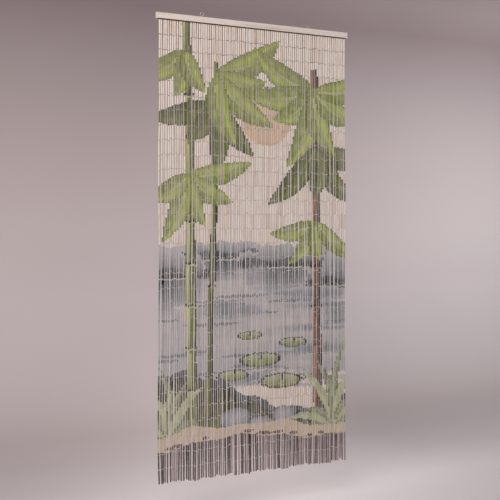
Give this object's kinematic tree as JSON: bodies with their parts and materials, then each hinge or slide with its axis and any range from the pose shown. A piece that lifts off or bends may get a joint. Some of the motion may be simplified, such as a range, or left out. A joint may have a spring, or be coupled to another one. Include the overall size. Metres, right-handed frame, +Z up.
{
  "type": "bamboo strand door curtain",
  "caption": "Door curtain of hanging bamboo tube strands under a pale wooden head rail with two small screw eyes, held up by the rail.",
  "frame": {"origin": "middle of the head rail's top edge, half way along it and half way through its depth", "axes": "+Z up, +X along the rail to the viewer's right, the painted front faces -Y"},
  "size_m": [0.92, 0.016, 2.0209],
  "materials": {
    "rail_wood": "pale planed wood",
    "bamboo": "satin bamboo cane, hand painted in matt colours",
    "eye_steel": "zinc-plated wire"
  },
  "bodies": {
    "root": {"header_rail": "rail_wood", "strands": "bamboo", "screw_eye_left": "eye_steel", "screw_eye_right": "eye_steel"}
  },
  "joints": []
}
